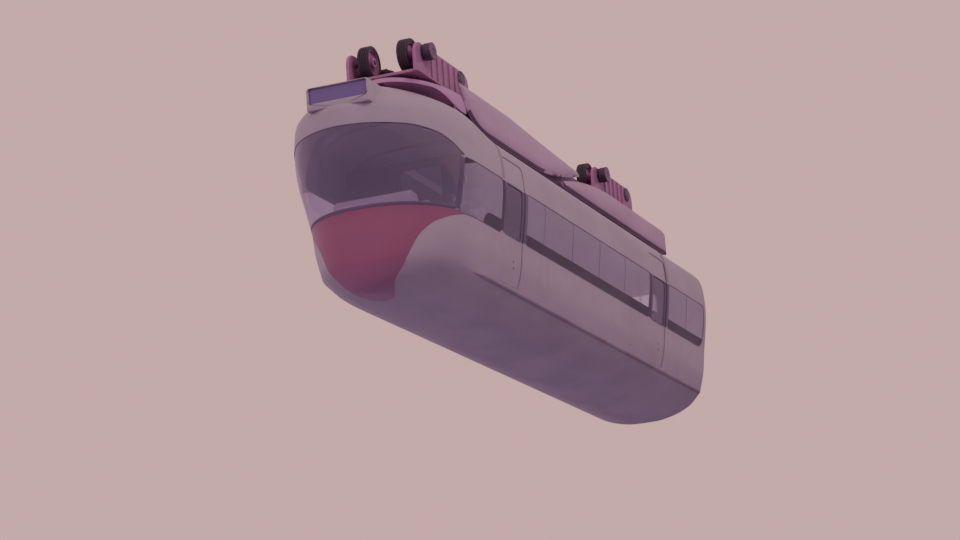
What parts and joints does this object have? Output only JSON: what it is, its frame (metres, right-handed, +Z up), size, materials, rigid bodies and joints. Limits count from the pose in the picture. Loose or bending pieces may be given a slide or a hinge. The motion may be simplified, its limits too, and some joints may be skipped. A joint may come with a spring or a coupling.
{
  "type": "suspended monorail car",
  "caption": "Front car of a suspended monorail: rounded nose with wrap-around windscreen, long side windows, sliding doors, hung from two swivelling bogies.",
  "frame": {"origin": "on the rail's running surface, on the centreline, midway between the two bogies", "axes": "+X is the driving direction, towards the rounded nose; +Y the car's left; +Z up"},
  "size_m": [12.905, 2.6, 3.97],
  "materials": {
    "body_white": "off-white gloss coach paint, faded",
    "nose_red": "red gloss coach paint",
    "fairing_pink": "pale pink satin paint",
    "oxide_paint": "dark red satin paint over weathered steel",
    "coupling_steel": "dark grey chassis paint",
    "tinted_glass": "tinted safety glass",
    "bellows_rubber": "black rubber",
    "tyre": "solid rubber tread on a painted wheel",
    "cabin_trim": "dark laminate",
    "seat_cover": "blue grey vinyl",
    "floor_cover": "grey ribbed floor covering",
    "sign_blue": "blank blue-violet sign blind behind glass"
  },
  "bodies": {
    "car": {"roof_shell": "body_white", "belly_pan": "body_white", "side_wall_left": "body_white", "side_wall_right": "body_white", "end_wall": "body_white", "sign_housing": "body_white", "nose_panel": "nose_red", "windscreen": "tinted_glass", "window_front_left": "tinted_glass", "window_front_right": "tinted_glass", "window_middle_left": "tinted_glass", "window_middle_right": "tinted_glass", "window_rear_left": "tinted_glass", "window_rear_right": "tinted_glass", "passage_frame": "bellows_rubber", "roof_spine": "coupling_steel", "underfloor_block": "coupling_steel", "floor_deck": "floor_cover", "cab_partition": "cabin_trim", "driver_desk": "cabin_trim", "seats_middle_left": "seat_cover", "seats_middle_right": "seat_cover", "seat_rear_left": "seat_cover", "seat_rear_right": "seat_cover", "driver_seat": "seat_cover", "sign_panel": "sign_blue", "fairing_front_left": "fairing_pink", "fairing_front_right": "fairing_pink", "fairing_rear_left": "fairing_pink", "fairing_rear_right": "fairing_pink", "fairing_nose": "oxide_paint"},
    "drawbar": {"drawbar": "coupling_steel"},
    "door_front_left": {"door_front_left_leaf": "body_white", "door_front_left_glass": "tinted_glass"},
    "door_front_right": {"door_front_right_leaf": "body_white", "door_front_right_glass": "tinted_glass"},
    "door_rear_left": {"door_rear_left_leaf": "body_white", "door_rear_left_glass": "tinted_glass"},
    "door_rear_right": {"door_rear_right_leaf": "body_white", "door_rear_right_glass": "tinted_glass"},
    "bogie_front": {"bogie_front_frame": "oxide_paint", "bogie_front_motor": "coupling_steel"},
    "bogie_front_wheel_front_left": {"bogie_front_wheel_front_left": "tyre"},
    "bogie_front_guide_front_left": {"bogie_front_guide_front_left": "tyre"},
    "bogie_front_wheel_back_left": {"bogie_front_wheel_back_left": "tyre"},
    "bogie_front_guide_back_left": {"bogie_front_guide_back_left": "tyre"},
    "bogie_front_wheel_front_right": {"bogie_front_wheel_front_right": "tyre"},
    "bogie_front_guide_front_right": {"bogie_front_guide_front_right": "tyre"},
    "bogie_front_wheel_back_right": {"bogie_front_wheel_back_right": "tyre"},
    "bogie_front_guide_back_right": {"bogie_front_guide_back_right": "tyre"},
    "bogie_rear": {"bogie_rear_frame": "oxide_paint", "bogie_rear_motor": "coupling_steel"},
    "bogie_rear_wheel_front_left": {"bogie_rear_wheel_front_left": "tyre"},
    "bogie_rear_guide_front_left": {"bogie_rear_guide_front_left": "tyre"},
    "bogie_rear_wheel_back_left": {"bogie_rear_wheel_back_left": "tyre"},
    "bogie_rear_guide_back_left": {"bogie_rear_guide_back_left": "tyre"},
    "bogie_rear_wheel_front_right": {"bogie_rear_wheel_front_right": "tyre"},
    "bogie_rear_guide_front_right": {"bogie_rear_guide_front_right": "tyre"},
    "bogie_rear_wheel_back_right": {"bogie_rear_wheel_back_right": "tyre"},
    "bogie_rear_guide_back_right": {"bogie_rear_guide_back_right": "tyre"}
  },
  "joints": [
    {"name": "drawbar_swing", "type": "hinge", "parent": "car", "child": "drawbar", "pos_m": [-6.25, 0, -3.26], "axis": [0, 0, 1], "range_deg": [-20, 20]},
    {"name": "door_front_left_slide", "type": "slide", "parent": "car", "child": "door_front_left", "axis": [-1, 0, 0], "range_m": [0, 0.8]},
    {"name": "door_front_right_slide", "type": "slide", "parent": "car", "child": "door_front_right", "axis": [-1, 0, 0], "range_m": [0, 0.8]},
    {"name": "door_rear_left_slide", "type": "slide", "parent": "car", "child": "door_rear_left", "axis": [-1, 0, 0], "range_m": [0, 0.8]},
    {"name": "door_rear_right_slide", "type": "slide", "parent": "car", "child": "door_rear_right", "axis": [-1, 0, 0], "range_m": [0, 0.8]},
    {"name": "bogie_front_swivel", "type": "hinge", "parent": "car", "child": "bogie_front", "pos_m": [3.75, 0, 0], "axis": [0, 0, 1], "range_deg": [-6, 6]},
    {"name": "bogie_front_wheel_front_left_roll", "type": "hinge", "parent": "bogie_front", "child": "bogie_front_wheel_front_left", "pos_m": [4.45, 0.31, 0.25], "axis": [0, 1, 0], "continuous": true},
    {"name": "bogie_front_guide_front_left_roll", "type": "hinge", "parent": "bogie_front", "child": "bogie_front_guide_front_left", "pos_m": [4.02, 0.235, 0.17], "axis": [0, 0, 1], "continuous": true},
    {"name": "bogie_front_wheel_back_left_roll", "type": "hinge", "parent": "bogie_front", "child": "bogie_front_wheel_back_left", "pos_m": [3.05, 0.31, 0.25], "axis": [0, 1, 0], "continuous": true},
    {"name": "bogie_front_guide_back_left_roll", "type": "hinge", "parent": "bogie_front", "child": "bogie_front_guide_back_left", "pos_m": [3.48, 0.235, 0.17], "axis": [0, 0, 1], "continuous": true},
    {"name": "bogie_front_wheel_front_right_roll", "type": "hinge", "parent": "bogie_front", "child": "bogie_front_wheel_front_right", "pos_m": [4.45, -0.31, 0.25], "axis": [0, 1, 0], "continuous": true},
    {"name": "bogie_front_guide_front_right_roll", "type": "hinge", "parent": "bogie_front", "child": "bogie_front_guide_front_right", "pos_m": [4.02, -0.235, 0.17], "axis": [0, 0, 1], "continuous": true},
    {"name": "bogie_front_wheel_back_right_roll", "type": "hinge", "parent": "bogie_front", "child": "bogie_front_wheel_back_right", "pos_m": [3.05, -0.31, 0.25], "axis": [0, 1, 0], "continuous": true},
    {"name": "bogie_front_guide_back_right_roll", "type": "hinge", "parent": "bogie_front", "child": "bogie_front_guide_back_right", "pos_m": [3.48, -0.235, 0.17], "axis": [0, 0, 1], "continuous": true},
    {"name": "bogie_rear_swivel", "type": "hinge", "parent": "car", "child": "bogie_rear", "pos_m": [-3.75, 0, 0], "axis": [0, 0, 1], "range_deg": [-6, 6]},
    {"name": "bogie_rear_wheel_front_left_roll", "type": "hinge", "parent": "bogie_rear", "child": "bogie_rear_wheel_front_left", "pos_m": [-3.05, 0.31, 0.25], "axis": [0, 1, 0], "continuous": true},
    {"name": "bogie_rear_guide_front_left_roll", "type": "hinge", "parent": "bogie_rear", "child": "bogie_rear_guide_front_left", "pos_m": [-3.48, 0.235, 0.17], "axis": [0, 0, 1], "continuous": true},
    {"name": "bogie_rear_wheel_back_left_roll", "type": "hinge", "parent": "bogie_rear", "child": "bogie_rear_wheel_back_left", "pos_m": [-4.45, 0.31, 0.25], "axis": [0, 1, 0], "continuous": true},
    {"name": "bogie_rear_guide_back_left_roll", "type": "hinge", "parent": "bogie_rear", "child": "bogie_rear_guide_back_left", "pos_m": [-4.02, 0.235, 0.17], "axis": [0, 0, 1], "continuous": true},
    {"name": "bogie_rear_wheel_front_right_roll", "type": "hinge", "parent": "bogie_rear", "child": "bogie_rear_wheel_front_right", "pos_m": [-3.05, -0.31, 0.25], "axis": [0, 1, 0], "continuous": true},
    {"name": "bogie_rear_guide_front_right_roll", "type": "hinge", "parent": "bogie_rear", "child": "bogie_rear_guide_front_right", "pos_m": [-3.48, -0.235, 0.17], "axis": [0, 0, 1], "continuous": true},
    {"name": "bogie_rear_wheel_back_right_roll", "type": "hinge", "parent": "bogie_rear", "child": "bogie_rear_wheel_back_right", "pos_m": [-4.45, -0.31, 0.25], "axis": [0, 1, 0], "continuous": true},
    {"name": "bogie_rear_guide_back_right_roll", "type": "hinge", "parent": "bogie_rear", "child": "bogie_rear_guide_back_right", "pos_m": [-4.02, -0.235, 0.17], "axis": [0, 0, 1], "continuous": true}
  ]
}
